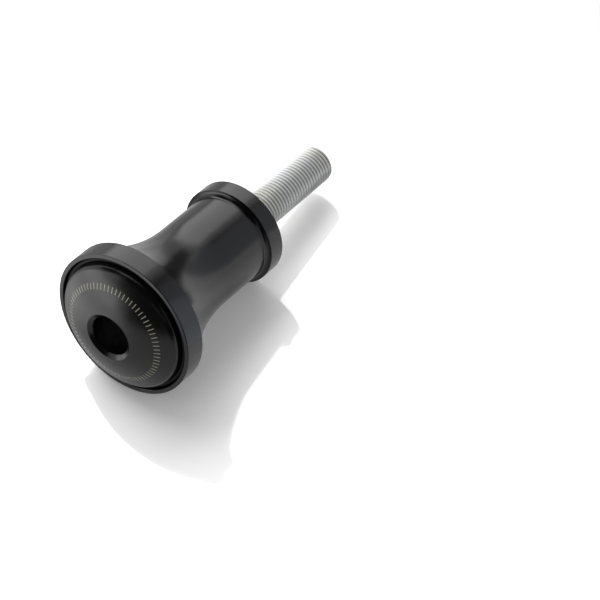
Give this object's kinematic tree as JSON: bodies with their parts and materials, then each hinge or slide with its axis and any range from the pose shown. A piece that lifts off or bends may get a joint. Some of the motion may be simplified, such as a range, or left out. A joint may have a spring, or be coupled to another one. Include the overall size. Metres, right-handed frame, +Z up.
{
  "type": "motorcycle frame slider",
  "caption": "Crash slider for a motorcycle frame: a turned trumpet-shaped spool with a domed replaceable pad in its cup and a captive socket bolt along its axis.",
  "frame": {"origin": "on the slider's axis, in the plane of the collar's face that seats on the motorcycle", "axes": "+Y along the bolt into the motorcycle, -Y out through the pad, +Z up"},
  "size_m": [0.053, 0.1184, 0.053],
  "materials": {
    "anodised_aluminium": "turned, bead blasted and anodised satin black",
    "acetal": "turned black acetal, satin",
    "seal_rubber": "plain black rubber cord",
    "zinc_steel": "bright zinc plate"
  },
  "bodies": {
    "slider": {"body": "anodised_aluminium", "pad": "acetal", "pad_ring": "seal_rubber", "washer": "zinc_steel"},
    "main_bolt": {"bolt": "zinc_steel"}
  },
  "joints": [
    {"name": "bolt_turn", "type": "hinge", "parent": "slider", "child": "main_bolt", "pos_m": [0, 0, 0], "axis": [0, 1, 0], "continuous": true}
  ]
}
